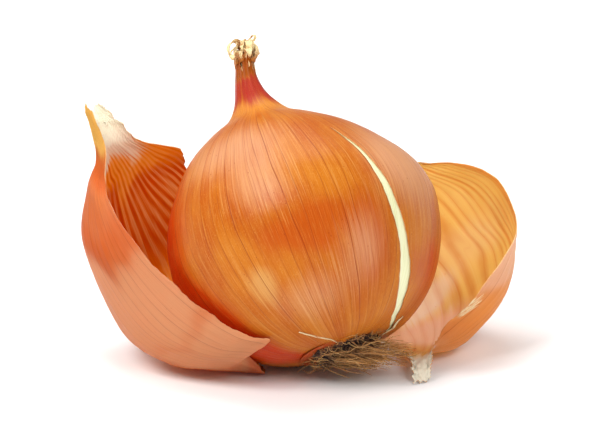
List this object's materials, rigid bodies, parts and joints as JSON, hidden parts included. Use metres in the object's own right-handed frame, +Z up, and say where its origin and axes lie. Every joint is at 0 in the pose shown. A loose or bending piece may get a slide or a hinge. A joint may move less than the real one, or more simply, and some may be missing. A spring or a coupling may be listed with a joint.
{
  "type": "onion",
  "caption": "Brown-skinned onion with a split dry skin, a frayed neck and a root tuft, lying between two loose peeled skins.",
  "frame": {"origin": "on the floor under the middle of the bounding box of the bulb and both peels", "axes": "+X to the right, from the left peel to the right peel; -Y to the front, where the split and the roots face; +Z up"},
  "size_m": [0.1295, 0.0941, 0.0941],
  "materials": {
    "flesh": "moist cream flesh",
    "dry_skin": "satin orange-brown dry skin with fine veins",
    "loose_skin": "thin satin dry skin that lets light through",
    "roots": "dry matte tan fibres"
  },
  "bodies": {
    "root": {"bulb_flesh": "flesh", "bulb_skin": "dry_skin", "root_tuft": "roots", "left_peel": "loose_skin", "right_peel": "loose_skin"}
  },
  "joints": []
}
